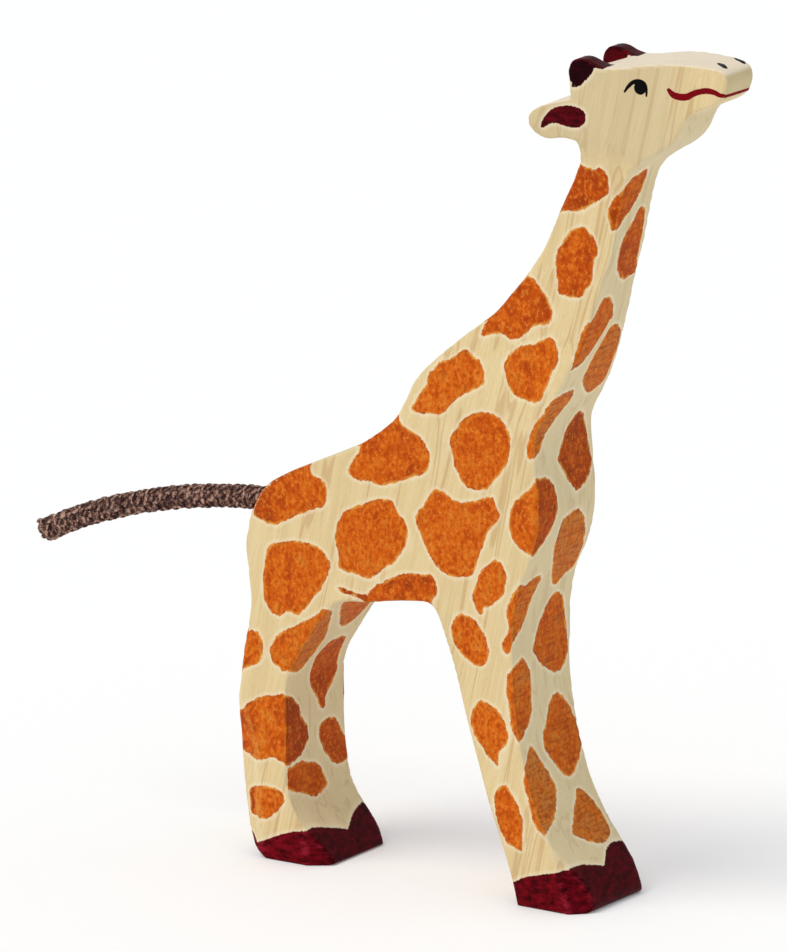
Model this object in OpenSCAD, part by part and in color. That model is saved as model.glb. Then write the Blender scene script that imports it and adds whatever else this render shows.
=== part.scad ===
// Carved giraffe figure: one shaped board that stands on two feet, with a braided cord tail.
// The board lies in the X-Z plane, the head is towards +X and the figure stands on Z = 0.

/* [Figure] */
// Height of the figure from the soles to the crown
overall_h = 161; // [140:1:185]
// Thickness of the board across the feet
board_t = 20.5; // [17:0.5:24]
// Bevel that is carved along every edge
edge_bevel = 0.8; // [0.5:0.1:1.2]

/* [Neck and head] */
// Thickness of the neck below the head
neck_t = 10.5; // [9:0.5:13]
// Thickness of the head across the ears and horns
head_t = 15; // [13:0.5:17]
// Thickness of the muzzle at its tip
muzzle_t = 8.8; // [6.6:0.2:10]
// Width of the saddle that is cut between the two horns
horn_gap = 8; // [6:0.5:9]

/* [Hooves] */
// Length of the corner that is carved off each toe, measured along the sole
toe_bevel = 4.5; // [2:0.5:7]

/* [Tail] */
// Diameter of the braided cord
cord_d = 4.5; // [3.8:0.1:5]
// Diameter of the core yarns inside the braid
core_d = 2; // [1.4:0.1:2.6]
// Room for glue around the cord in its socket, on the radius
glue_gap = 0.3; // [0.2:0.05:0.4]
// Depth of the drilled tail socket below its lower lip
socket_depth = 14; // [11:0.5:18]

/* [Hidden] */
// The outline below is drawn for a figure 161 mm tall and scaled to the height asked for.
k = overall_h / 161;

// Side outline, [x, z], clockwise from the back of the rear sole.
// Each run is a smooth curve through its points, and the runs meet at corners.
rump_run = [[-44.7, 0], [-46.9, 2.1], [-48.6, 6], [-49.7, 11.5], [-50.8, 19], [-51.1, 27],
  [-50.4, 33.5], [-49.7, 39], [-48.7, 44], [-48.2, 48.5], [-48.7, 53.5], [-49.2, 58.5],
  [-48.8, 62], [-47.8, 65.8], [-45, 70.5], [-40.5, 73.6], [-34.5, 76.6], [-25, 81.1],
  [-17.3, 86.8], [-14.8, 90.8], [-11.7, 96.6], [-3.9, 103.9], [2.7, 109.3], [6.7, 113.9],
  [10.2, 118.5], [13.2, 123.6], [16.6, 131.2], [19.7, 137.5], [21.2, 141], [20.8, 144.1]];
ear_run = [[20.8, 144.1], [18, 144.4], [14.2, 143.8], [11.6, 144.7], [10.6, 146.6],
  [11.4, 148.5], [14.5, 150.3], [19.8, 152]];
horn_run = [[19.8, 152], [19.5, 155], [19.3, 157.5], [20.4, 159.3], [22.6, 159.7],
  [24.9, 159], [27, 158.6]];
crown_run = [[27, 158.6], [29.5, 158.9], [33, 159.7], [36.5, 160.4], [39.5, 160.8],
  [43, 161], [48.5, 161], [50.8, 160.2], [51.4, 158.2], [50.6, 155.6]];
front_run = [[50.6, 155.6], [48.5, 154], [46, 152.8], [43.8, 151.6], [42.6, 149.6],
  [41.2, 147], [38.5, 144.4], [35, 142.2], [32.1, 140], [30.7, 137.7], [29.9, 135],
  [28.8, 130.5], [27.3, 123.5], [25.4, 117.5], [23.1, 109.5], [20.4, 102], [17.4, 95.7],
  [14.7, 91], [13.7, 87.5], [13.9, 82], [14.6, 76], [14.3, 70.5], [12.8, 65], [10.6, 60],
  [9.5, 55.5], [9, 50.5], [9.1, 45], [9.4, 38.5], [10.5, 31.5], [12.1, 25], [14.2, 19],
  [17.1, 13.5], [21.1, 8.3], [23.9, 4.4], [24.9, 0]];
belly_run = [[10.7, 0], [9.4, 5], [6.9, 12], [3.3, 21], [-0.4, 32], [-3, 41],
  [-5.3, 47.5], [-7.3, 52.2], [-8.9, 53.8], [-11.5, 53.9], [-17, 53.1], [-23, 51.9],
  [-27, 51.4], [-30, 50.4], [-33, 47], [-36.9, 41], [-39.5, 36.5], [-40.5, 32.5],
  [-40.4, 26], [-40.2, 19], [-39.4, 12.5], [-37.4, 8.7], [-34.4, 5.2], [-31.6, 0]];

// Half thickness of the figure against height, [z, half thickness].
thickness = [[0, board_t / 2], [10, board_t / 2], [30, board_t * 0.47], [86, board_t * 0.47],
  [94, board_t * 0.44], [101, neck_t * 0.76], [109, neck_t * 0.64], [117, neck_t * 0.56],
  [125, neck_t / 2], [136, neck_t / 2], [147, head_t / 2], [162, head_t / 2]];
// Half thickness of the head against length, [x, half thickness].
head_plan = [[0, head_t / 2], [23, head_t / 2], [30, head_t * 0.47], [38, head_t * 0.41],
  [45, muzzle_t * 0.58], [51.5, muzzle_t / 2]];

// Segments along each part of the outline: rear leg and trunk, front leg, neck, head, ear, horn.
n_leg = 34;
n_fore = 24;
n_neck = 20;
n_head = 18;
n_ear = 7;
n_horn = 6;

// Middle of the socket's mouth, [x, z], and the socket's slope below the horizontal.
mouth = [-47.9, 65.5];
socket_slope = 7;
// The glued end stops this far inside the mouth, clear of the cord's rounded root.
seat_gap = 1.25;
// Thickness of the glue at the bottom of the socket.
glue_floor = 1;
// Middle line of the free cord, [x, z], from the hinge to the cut end.
tail_route = [[-49.5, 65.3], [-55, 64.9], [-62.5, 64], [-70.5, 62.5], [-78, 60.6],
  [-86.4, 57.9], [-94, 54.8], [-100.8, 51.4]];
// The core yarns stand out of the cut end by this much.
core_out = 0.8;
sides = 12;

// Point on the curve through a run, u counted in points from the run's start.
function pick(p, i) = p[min(max(i, 0), len(p) - 1)];
function bend(p, i, t) = 0.5 * (2 * pick(p, i) + (pick(p, i + 1) - pick(p, i - 1)) * t
  + (2 * pick(p, i - 1) - 5 * pick(p, i) + 4 * pick(p, i + 1) - pick(p, i + 2)) * t * t
  + (3 * pick(p, i) - pick(p, i - 1) - 3 * pick(p, i + 1) + pick(p, i + 2)) * t * t * t);
function along(p, u) = bend(p, floor(u), u - floor(u));
function stretch(p, from, to, n) = [for (i = [0:n - 1]) along(p, from + (to - from) * i / n)];

withers = 20;
chest = 21;
throat = 9;
crotch = 8;
drawn = concat(
  stretch(rump_run, 0, withers, n_leg),
  stretch(rump_run, withers, len(rump_run) - 1, n_neck),
  stretch(ear_run, 0, len(ear_run) - 1, 2 * n_ear),
  stretch(horn_run, 0, len(horn_run) - 1, 2 * n_horn),
  stretch(crown_run, 0, len(crown_run) - 1, n_head),
  stretch(front_run, 0, throat, n_head),
  stretch(front_run, throat, chest, n_neck),
  stretch(front_run, chest, len(front_run) - 1, n_fore),
  [front_run[len(front_run) - 1]],
  stretch(belly_run, 0, crotch, n_fore),
  stretch(belly_run, crotch, len(belly_run) - 1, n_leg),
  [belly_run[len(belly_run) - 1]]);
outline = [for (p = drawn) p * k];
count = len(outline);

// Where each part starts in the outline.
i_neck = n_leg;
i_ear = i_neck + n_neck;
i_horn = i_ear + 2 * n_ear;
i_crown = i_horn + 2 * n_horn;
i_throat = i_crown + 2 * n_head;
i_chest = i_throat + n_neck;
i_heel = i_chest + n_fore + 1;
i_crotch = i_heel + n_fore;

// Outline set in by d along the bisector of each corner.
function unit(v) = v / norm(v);
function inward(v) = [v[1], -v[0]];
function inset_point(i, d) =
  let (a = unit(outline[i] - outline[(i + count - 1) % count]),
    b = unit(outline[(i + 1) % count] - outline[i]),
    n = unit(inward(a) + inward(b)))
  outline[i] + n * d / max(0.5, n * inward(a));

// Half thickness at a point of the outline.
function body_t(x, z) = z < 139 ? lookup(z, thickness)
  : min(lookup(z, thickness), lookup(x, head_plan));
function half_t(p) = body_t(p[0] / k, p[1] / k);

// Four rings make the board: near face, near bevel, far bevel, far face.
function ring(d, s, drop) = [for (i = [0:count - 1])
  let (p = d > 0 ? inset_point(i, d) : outline[i])
  [p[0], s * (half_t(p) - drop), p[1]]];
// Faces between two stretches of the outline that face each other, and a pointed tip.
function strip(a, b, n) = [for (i = [0:n - 1]) [a + i, a + i + 1, b - i - 1, b - i]];
function tip(i) = [[i - 1, i, i + 1]];
cap = concat(
  strip(0, count - 1, n_leg),
  strip(i_chest, i_crotch, n_fore),
  strip(i_neck, i_chest, n_neck),
  strip(i_ear, i_horn, n_ear - 1), tip(i_ear + n_ear),
  strip(i_horn, i_crown, n_horn - 1), tip(i_horn + n_horn),
  strip(i_crown, i_throat, n_head - 1), tip(i_crown + n_head),
  [[i_neck, i_chest, i_crotch], [i_ear, i_horn, i_crown, i_throat]]);
board_points = concat(ring(edge_bevel, -1, 0), ring(0, -1, edge_bevel),
  ring(0, 1, edge_bevel), ring(edge_bevel, 1, 0));
board_faces = concat(cap,
  [for (r = [0:2]) for (i = [0:count - 1]) let (j = (i + 1) % count)
    [r * count + i, (r + 1) * count + i, (r + 1) * count + j, r * count + j]],
  [for (f = cap) [for (q = [len(f) - 1:-1:0]) f[q] + 3 * count]]);

// The cord's rings: centre, direction along the cord, and radius.
cord_r = cord_d / 2;
line = [for (i = [0:2 * len(tail_route) - 2]) along(tail_route, i / 2) * k];
steps = len(line);
function direction(i) = unit(line[min(i + 1, steps - 1)] - line[max(i - 1, 0)]);
function cord_ring(c, d, r) = [for (q = [0:sides - 1])
  let (a = 360 * q / sides)
  [c[0] - d[1] * r * cos(a), r * sin(a), c[1] + d[0] * r * cos(a)]];
root_rings = [for (a = [20, 42, 66])
  each cord_ring(line[0] - direction(0) * cord_r * cos(a), direction(0), cord_r * sin(a))];
function cord_rings(from, r) = [for (i = [from:steps - 1]) each cord_ring(line[i], direction(i), r)];
core_end = cord_ring(line[steps - 1] + direction(steps - 1) * core_out,
  direction(steps - 1), core_d / 2);

// Skin between ring i and ring i + 1, and a flat end on ring i.
function skin(i, flip) = [for (q = [0:sides - 1]) let (p = (q + 1) % sides)
  flip ? [i * sides + q, (i + 1) * sides + q, (i + 1) * sides + p, i * sides + p]
    : [i * sides + p, (i + 1) * sides + p, (i + 1) * sides + q, i * sides + q]];
function end_face(i, flip) = [[for (q = [0:sides - 1]) i * sides + (flip ? q : sides - 1 - q)]];
n_outer = 3 + steps;
n_bore = steps - 1;
// The braid's cut end, a ring between its outer skin and its core.
cut_end = [for (q = [0:sides - 1]) let (p = (q + 1) % sides, o = (n_outer - 1) * sides,
  c = (n_outer + n_bore - 1) * sides) [o + p, c + p, c + q, o + q]];
braid_faces = concat(end_face(0, false), [for (i = [0:n_outer - 2]) each skin(i, false)],
  cut_end, [for (i = [n_outer:n_outer + n_bore - 2]) each skin(i, true)],
  end_face(n_outer, true));
core_faces = concat(end_face(0, false), [for (i = [0:n_bore - 1]) each skin(i, false)],
  end_face(n_bore, true));

// Places a part on the socket's axis, with +Z along the socket out of its mouth.
module on_socket() {
  translate([mouth[0] * k, 0, mouth[1] * k])
    rotate([0, -90 - socket_slope, 0])
      children();
}

// The corner at the outside of a toe that the knife takes off. side is -1 or 1.
module toe_cut(toe_x, side) {
  translate([toe_x * k - toe_bevel, side * board_t / 2, -1])
    rotate([0, 0, -side * 28])
      translate([-1, side > 0 ? 0 : -12, 0])
        cube([30, 12, 14]);
}

// The saddle between the horns, open to the front and to the back.
module horn_saddle() {
  translate([19 * k, -horn_gap / 2, 155.8 * k])
    rotate([0, -20, 0])
      translate([-6, 0, 0])
        cube([20, horn_gap, 12]);
}

// The sawn and carved board: body, legs, neck, head, ears and horns in one piece.
module carved_body() {
  color([0.93, 0.86, 0.7])
    difference() {
      polyhedron(board_points, board_faces, convexity = 8);
      on_socket()
        translate([0, 0, -socket_depth])
          cylinder(h = socket_depth + 12, d = cord_d + 2 * glue_gap, $fn = 48);
      horn_saddle();
      for (side = [-1, 1]) {
        toe_cut(24.9, side);
        toe_cut(-31.6, side);
      }
    }
}

// Glue that fills the socket around and under the cord's end.
module tail_glue() {
  color([0.85, 0.8, 0.6])
    on_socket()
      translate([0, 0, -socket_depth])
        difference() {
          cylinder(h = socket_depth - seat_gap - 0.5, d = cord_d + 2 * glue_gap, $fn = 48);
          translate([0, 0, glue_floor])
            cylinder(h = socket_depth, d = cord_d, $fn = 48);
        }
}

// The end of the cord that is glued into the socket.
module tail_seated_end() {
  color([0.45, 0.37, 0.38])
    on_socket()
      translate([0, 0, glue_floor - socket_depth])
        cylinder(h = socket_depth - glue_floor - seat_gap, d = cord_d, $fn = 48);
}

// The braided sheath of the free tail, with a rounded root and an open bore for the core.
module tail_braid() {
  color([0.47, 0.38, 0.4])
    polyhedron(concat(root_rings, cord_rings(0, cord_r), cord_rings(1, core_d / 2)),
      braid_faces, convexity = 4);
}

// The straight yarns inside the braid.
module tail_core() {
  color([0.8, 0.78, 0.72])
    polyhedron(concat(cord_rings(1, core_d / 2), core_end), core_faces, convexity = 4);
}

carved_body();
tail_glue();
tail_seated_end();
tail_braid();
tail_core();
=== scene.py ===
"""Carved and painted wooden giraffe figure with a braided cord tail, for Blender 4.5.

Everything is worked out in millimetres in the CAD frame (the animal faces +X, the camera's side of
the board is -Y, Z is up) and turned into metres when a mesh is made.
"""

import math

import bmesh
import bpy
import numpy as np
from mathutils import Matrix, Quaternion, Vector


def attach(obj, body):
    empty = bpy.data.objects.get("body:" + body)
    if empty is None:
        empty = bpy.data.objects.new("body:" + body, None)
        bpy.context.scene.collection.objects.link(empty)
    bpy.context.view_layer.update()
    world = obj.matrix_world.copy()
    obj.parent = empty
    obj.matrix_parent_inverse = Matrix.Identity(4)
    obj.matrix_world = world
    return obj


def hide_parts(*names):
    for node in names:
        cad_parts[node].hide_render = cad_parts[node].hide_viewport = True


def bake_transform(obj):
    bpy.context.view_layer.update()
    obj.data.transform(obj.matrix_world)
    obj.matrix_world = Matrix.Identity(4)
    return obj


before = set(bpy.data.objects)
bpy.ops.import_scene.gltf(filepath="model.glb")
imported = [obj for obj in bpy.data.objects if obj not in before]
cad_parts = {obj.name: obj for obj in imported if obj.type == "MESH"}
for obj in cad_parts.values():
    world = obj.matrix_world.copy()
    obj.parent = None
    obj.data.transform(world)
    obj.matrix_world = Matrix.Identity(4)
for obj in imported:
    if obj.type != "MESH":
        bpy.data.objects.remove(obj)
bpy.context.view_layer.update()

MM = 0.001


def add_object(name, data):
    """A new object in the scene."""
    thing = bpy.data.objects.new(name, data)
    bpy.context.scene.collection.objects.link(thing)
    return thing


# ---------------------------------------------------------------- camera

CAMERA_AIM = np.array([-23.25, 0.0, 73.6])
CAMERA_AZIMUTH = math.radians(33.65)
CAMERA_ELEVATION = math.radians(15.08)
CAMERA_DISTANCE = 3743.0
CAMERA_ROLL = math.radians(0.09)
CAMERA_LENS = 776.1
SENSOR_WIDTH = 36.0


def make_camera():
    """A long lens a little above the ground, three quarters on to the animal's right side."""
    back = Vector((
        math.sin(CAMERA_AZIMUTH) * math.cos(CAMERA_ELEVATION),
        -math.cos(CAMERA_AZIMUTH) * math.cos(CAMERA_ELEVATION),
        math.sin(CAMERA_ELEVATION),
    ))
    data = bpy.data.cameras.new("camera")
    data.lens = CAMERA_LENS
    data.sensor_width = SENSOR_WIDTH
    data.clip_start = 0.1
    data.clip_end = 50.0
    camera = add_object("camera", data)
    camera.location = Vector(CAMERA_AIM * MM) + back * CAMERA_DISTANCE * MM
    camera.rotation_mode = "QUATERNION"
    turn = (-back).to_track_quat("-Z", "Y")
    camera.rotation_quaternion = turn @ Quaternion((0.0, 0.0, 1.0), CAMERA_ROLL)
    bpy.context.scene.camera = camera


make_camera()

# ---------------------------------------------------------------- curves and steps


def smooth_run(points, per_span, closed=False):
    """Points along a Catmull-Rom curve through the given ones, or round a closed one."""
    p = np.array(points, float)
    p = np.vstack([p[-1:], p, p[:2]] if closed else [p[:1], p, p[-1:]])
    t = np.arange(per_span)[:, None] / per_span
    out = []
    for a, b, c, d in zip(p[:-3], p[1:-2], p[2:-1], p[3:]):
        out.append(0.5 * (2 * b + (c - a) * t + (2 * a - 5 * b + 4 * c - d) * t ** 2
                          + (3 * b - a - 3 * c + d) * t ** 3))
    return np.vstack(out if closed else out + [p[-1:]])


def soft_step(low, high, x):
    """0 at low, 1 at high and smooth between them; high may be the smaller."""
    t = np.clip((x - low) / (high - low), 0, 1)
    return t * t * (3 - 2 * t)


def bell(step, reach, sigma):
    """Weights of a bell curve, reach steps to each side, that add up to 1."""
    w = np.exp(-0.5 * (np.arange(-reach, reach + 1) * step / sigma) ** 2)
    return w / w.sum()


def ring_distance(points, ring, chunk=3000):
    """Signed distance from each point to a closed ring, negative inside it."""
    a = ring
    d = np.roll(ring, -1, axis=0) - ring
    length2 = np.maximum((d ** 2).sum(1), 1e-12)
    end_z = a[:, 1] + d[:, 1]
    level = np.abs(d[:, 1]) < 1e-12
    run = np.where(level, 0.0, d[:, 0] / np.where(level, 1, d[:, 1]))
    out = np.empty(len(points))
    for s in range(0, len(points), chunk):
        p = points[s:s + chunk]
        wx = p[:, 0:1] - a[:, 0]
        wz = p[:, 1:2] - a[:, 1]
        t = np.clip((wx * d[:, 0] + wz * d[:, 1]) / length2, 0, 1)
        near = ((wx - t * d[:, 0]) ** 2 + (wz - t * d[:, 1]) ** 2).min(1)
        crosses = ((a[:, 1] <= p[:, 1:2]) != (end_z <= p[:, 1:2])) & (wx < wz * run)
        inside = crosses.sum(1) % 2 == 1
        out[s:s + chunk] = np.sqrt(near) * np.where(inside, -1, 1)
    return out


# ---------------------------------------------------------------- the board's outline and thickness

# the sawn outline from the rear heel over the back and down to the front toe, and under the belly
RUMP = [[-44.7, 0], [-46.9, 2.1], [-48.6, 6], [-49.7, 11.5], [-50.8, 19], [-51.1, 27], [-50.4, 33.5],
        [-49.7, 39], [-48.7, 44], [-48.2, 48.5], [-48.7, 53.5], [-49.2, 58.5], [-48.8, 62],
        [-47.8, 65.8], [-45, 70.5], [-40.5, 73.6], [-34.5, 76.6], [-25, 81.1], [-17.3, 86.8],
        [-14.8, 90.8], [-11.7, 96.6], [-3.9, 103.9], [2.7, 109.3], [6.7, 113.9], [10.2, 118.5],
        [13.2, 123.6], [16.6, 131.2], [19.7, 137.5], [21.2, 141], [20.8, 144.1]]
EAR = [[20.8, 144.1], [18, 144.4], [14.2, 143.8], [11.6, 144.7], [10.6, 146.6], [11.4, 148.5],
       [14.5, 150.3], [19.8, 152]]
HORN = [[19.8, 152], [19.5, 155], [19.3, 157.5], [20.4, 159.3], [22.6, 159.7], [24.9, 159],
        [27, 158.6]]
CROWN = [[27, 158.6], [29.5, 158.9], [33, 159.7], [36.5, 160.4], [39.5, 160.8], [43, 161],
         [48.5, 161], [50.8, 160.2], [51.4, 158.2], [50.6, 155.6]]
FRONT = [[50.6, 155.6], [48.5, 154], [46, 152.8], [43.8, 151.6], [42.6, 149.6], [41.2, 147],
         [38.5, 144.4], [35, 142.2], [32.1, 140], [30.7, 137.7], [29.9, 135], [28.8, 130.5],
         [27.3, 123.5], [25.4, 117.5], [23.1, 109.5], [20.4, 102], [17.4, 95.7], [14.7, 91],
         [13.7, 87.5], [13.9, 82], [14.6, 76], [14.3, 70.5], [12.8, 65], [10.6, 60], [9.5, 55.5],
         [9, 50.5], [9.1, 45], [9.4, 38.5], [10.5, 31.5], [12.1, 25], [14.2, 19], [17.1, 13.5],
         [21.1, 8.3], [23.9, 4.4], [25.1, 1.3], [24.3, 0]]
BELLY = [[10.7, 0], [9.4, 5], [6.9, 12], [3.3, 21], [-0.4, 32], [-3, 41], [-5.3, 47.5],
         [-7.3, 52.2], [-8.9, 53.8], [-11.5, 53.9], [-17, 53.1], [-23, 51.9], [-27, 51.4],
         [-30, 50.4], [-33, 47], [-36.9, 41], [-39.5, 36.5], [-40.5, 32.5], [-40.4, 26],
         [-40.2, 19], [-39.4, 12.5], [-37.4, 8.7], [-34.4, 5.2], [-31.4, 0.6], [-32, 0]]
SPANS = 8
BELOW = 5.0

# half the board's thickness by height, [z, half], and along the head, [x, half]
HALF_BY_HEIGHT = np.array([
    [0, 10.25], [10, 10.25], [30, 9.635], [86, 9.635], [94, 9.02], [101, 7.98], [109, 6.72],
    [117, 5.88], [125, 5.25], [136, 5.25], [147, 7.5], [162, 7.5]])
HEAD_PLAN = np.array([
    [0, 7.5], [23, 7.5], [30, 7.05], [38, 6.1], [45, 5.1], [51.5, 4.4]])
HEAD_FROM, HEAD_EASE = 139.0, 3.0


def board_ring():
    """The sawn outline, with each leg run on below the ground so that the sole is cut apart."""
    runs = [smooth_run(r, SPANS) for r in (RUMP, EAR, HORN, CROWN, FRONT)]
    ring = [runs[0]] + [r[1:] for r in runs[1:]]
    ring.append(np.array([[FRONT[-1][0], -BELOW], [BELLY[0][0], -BELOW]]))
    ring.append(smooth_run(BELLY, SPANS))
    ring.append(np.array([[BELLY[-1][0], -BELOW], [RUMP[0][0], -BELOW]]))
    return np.vstack(ring)


class SideGrid:
    """A function of x and z held on a grid and read back with cubic weights."""

    def __init__(self, low, high, step):
        self.low = np.array(low, float)
        self.step = step
        count = np.ceil((np.array(high) - self.low) / step).astype(int) + 1
        x = self.low[0] + step * np.arange(count[0])
        z = self.low[1] + step * np.arange(count[1])
        self.points = np.stack(np.meshgrid(x, z, indexing="ij"), -1).reshape(-1, 2)
        self.shape = tuple(count)
        self.value = None

    def blur(self, sigma, reach=4):
        w = bell(self.step, reach, sigma)
        for axis in (0, 1):
            margin = [(reach, reach) if i == axis else (0, 0) for i in (0, 1)]
            padded = np.pad(self.value, margin, "edge")
            self.value = sum(w[i] * np.take(padded, np.arange(i, i + self.shape[axis]), axis)
                             for i in range(len(w)))

    def read(self, x, z):
        u = np.clip((x - self.low[0]) / self.step, 1, self.shape[0] - 3.001)
        v = np.clip((z - self.low[1]) / self.step, 1, self.shape[1] - 3.001)
        i, j = u.astype(int), v.astype(int)
        wu, wv = self._weights(u - i), self._weights(v - j)
        out = 0.0
        for a in range(4):
            row = 0.0
            for b in range(4):
                row = row + wv[b] * self.value[i + a - 1, j + b - 1]
            out = out + wu[a] * row
        return out

    @staticmethod
    def _weights(t):
        return (0.5 * (-t + 2 * t ** 2 - t ** 3), 0.5 * (2 - 5 * t ** 2 + 3 * t ** 3),
                0.5 * (t + 4 * t ** 2 - 3 * t ** 3), 0.5 * (-t ** 2 + t ** 3))


outline = SideGrid((-57, -6), (57, 167), 0.4)
outline.value = ring_distance(outline.points, board_ring()).reshape(outline.shape)
outline.blur(0.3)


def smooth_table(table, low, high, step=0.5, sigma=1.6, reach=12):
    """A table's values on an even axis, with its corners eased."""
    axis = np.arange(low, high + step, step)
    value = np.interp(axis, table[:, 0], table[:, 1])
    return axis, np.convolve(np.pad(value, reach, "edge"), bell(step, reach, sigma), "valid")


HEIGHT_AXIS, HEIGHT_HALF = smooth_table(HALF_BY_HEIGHT, -10, 170)
HEAD_AXIS, HEAD_HALF = smooth_table(HEAD_PLAN, -20, 60)


def half_thickness(x, z):
    by_height = np.interp(z, HEIGHT_AXIS, HEIGHT_HALF)
    by_head = np.interp(x, HEAD_AXIS, HEAD_HALF)
    on_head = soft_step(HEAD_FROM - HEAD_EASE, HEAD_FROM + HEAD_EASE, z)
    return by_height + np.minimum(by_head - by_height, 0) * on_head


# ---------------------------------------------------------------- the carved solid

EDGE_RADIUS = 0.45
SOLE_RADIUS = 0.5
MUZZLE_RADIUS = 0.7
MUZZLE_FROM, MUZZLE_EASE, MUZZLE_ABOVE = 44.0, 6.0, 145.0
SIDE_INSET = 0.05
CUT_RADIUS = 0.25

# the saddle between the horns: half its width, a point on its floor, the floor's slope and its end
SADDLE_HALF = 4.0
SADDLE_AT = (19.2, 156.0)
SADDLE_SLOPE = 0.36
SADDLE_END = 27.0
SADDLE_RADIUS = 0.3

# the mouth of the tail's socket
BORE_RADIUS = 2.55
BORE_AT = np.array([-47.9, 0.0, 65.5])
BORE_SLOPE = math.radians(7)
BORE_DEPTH = 3.0
BORE_OUTSIDE = 6.0

# planes that knife cuts leave: a point on the plane, its outward direction, the heights where it
# fades out, and the end of the animal that it is on (-1 behind, 1 in front)
CUTS = [
    ((17.2, -10.25, 14.4), (0.685, -0.695, 0.219), (18, 26), 1),
    ((-36.1, -10.25, 6.4), (0.585, -0.81, 0.045), (9, 16), -1),
    ((25.1, 9.7, 0.0), (0.60, 0.77, 0.19), (10, 20), 1),
    ((-31.4, 9.2, 0.0), (0.60, 0.77, 0.10), (6, 14), -1),
    ((-47.0, -9.9, 14.0), (-0.36, -0.933, 0.0), (20, 48), -1),
    ((-47.5, 9.9, 14.0), (-0.36, 0.933, 0.0), (20, 48), -1),
]
CUT_FADE = 4.0
BETWEEN_LEGS = -15.0


def round_max(a, b, r):
    """The larger of two distances, with the corner between them rounded to radius r."""
    return np.minimum(np.maximum(a, b), -r) + np.hypot(np.maximum(a + r, 0), np.maximum(b + r, 0))


def wobble(x, y, z):
    """Slow unevenness that hand shaping leaves, in millimetres."""
    return 0.05 * (np.sin(0.21 * x + 0.13 * z + 1.0) + np.sin(0.17 * z - 0.23 * x + 0.3 * y + 2.2)
                   + np.sin(0.37 * z + 0.11 * x + 4.0))


def knife_cuts(p):
    """For each cut, the distance past its plane and the points that it can reach."""
    x, z = p[:, 0], p[:, 2]
    for at, way, (start, end), side in CUTS:
        way = np.array(way) / np.linalg.norm(way)
        plane = (p - np.array(at)) @ way - CUT_FADE * soft_step(start, end, z)
        yield plane, ((x - BETWEEN_LEGS) * side > 0) & (z < end)


def carved(p):
    """Signed distance to the carved wood, negative inside."""
    x, y, z = p[:, 0], p[:, 1], p[:, 2]
    side = np.abs(y) - half_thickness(x, z) + SIDE_INSET + wobble(x, y, z)
    muzzle = np.clip((x - MUZZLE_FROM) / MUZZLE_EASE, 0, 1) * (z > MUZZLE_ABOVE)
    radius = EDGE_RADIUS + (MUZZLE_RADIUS - EDGE_RADIUS) * muzzle
    f = round_max(outline.read(x, z), side, radius)
    for plane, here in knife_cuts(p):
        f = np.where(here, round_max(f, plane, CUT_RADIUS), f)
    f = round_max(f, -z, SOLE_RADIUS)

    floor = ((z - SADDLE_AT[1]) * math.cos(SADDLE_SLOPE)
             - (x - SADDLE_AT[0]) * math.sin(SADDLE_SLOPE))
    notch = np.maximum(np.abs(y) - SADDLE_HALF, -floor)
    notch = np.maximum(notch, x - SADDLE_END)
    f = np.where(x < SADDLE_END + 3, round_max(f, -notch, SADDLE_RADIUS), f)

    way = np.array([math.cos(BORE_SLOPE), 0.0, math.sin(BORE_SLOPE)])
    along = (p - BORE_AT) @ way
    across = np.sqrt(np.maximum(((p - BORE_AT) ** 2).sum(1) - along ** 2, 0))
    bore = np.maximum(across - BORE_RADIUS, along - BORE_DEPTH)
    bore = np.maximum(bore, -along - BORE_OUTSIDE)
    return np.where(x < -40, round_max(f, -bore, CUT_RADIUS), f)


def slope(field, p, eps=0.06):
    """Unit gradient of a field at each point."""
    g = np.stack([field(p + axis * eps) - field(p - axis * eps) for axis in np.eye(3)], 1)
    return g / np.maximum(np.linalg.norm(g, axis=1, keepdims=True), 1e-9)


def grid_values(field, axes):
    """The field at every point of a grid, one slice at a time."""
    y, z = np.meshgrid(axes[1], axes[2], indexing="ij")
    value = np.empty((len(axes[0]), *y.shape))
    for i, x in enumerate(axes[0]):
        value[i] = field(np.stack([np.full(y.size, x), y.ravel(), z.ravel()], 1)).reshape(y.shape)
    return value


def crossings(field, value, low, step, k, rounds=3):
    """The grid's edges along axis k that the surface crosses, which of them start inside it, and
    the points where it crosses them."""
    solid = value < 0
    lower = [slice(None)] * 3
    upper = [slice(None)] * 3
    lower[k], upper[k] = slice(0, -1), slice(1, None)
    at = np.argwhere(solid[tuple(lower)] != solid[tuple(upper)])
    top = at.copy()
    top[:, k] += 1
    f0, f1 = value[tuple(at.T)], value[tuple(top.T)]
    t0, t1 = np.zeros(len(at)), np.ones(len(at))
    t = f0 / (f0 - f1)

    def along_edge():
        q = low + at * step
        q[:, k] += t * step
        return q

    for _ in range(rounds):
        f = field(along_edge())
        same = (f < 0) == (f0 < 0)
        t0, f0 = np.where(same, t, t0), np.where(same, f, f0)
        t1, f1 = np.where(same, t1, t), np.where(same, f1, f)
        gap = f0 - f1
        usable = np.abs(gap) > 1e-9
        t = t0 + (t1 - t0) * np.where(usable, f0 / np.where(usable, gap, 1), 0.5)
    return at, solid[tuple(at.T)], along_edge()


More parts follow.
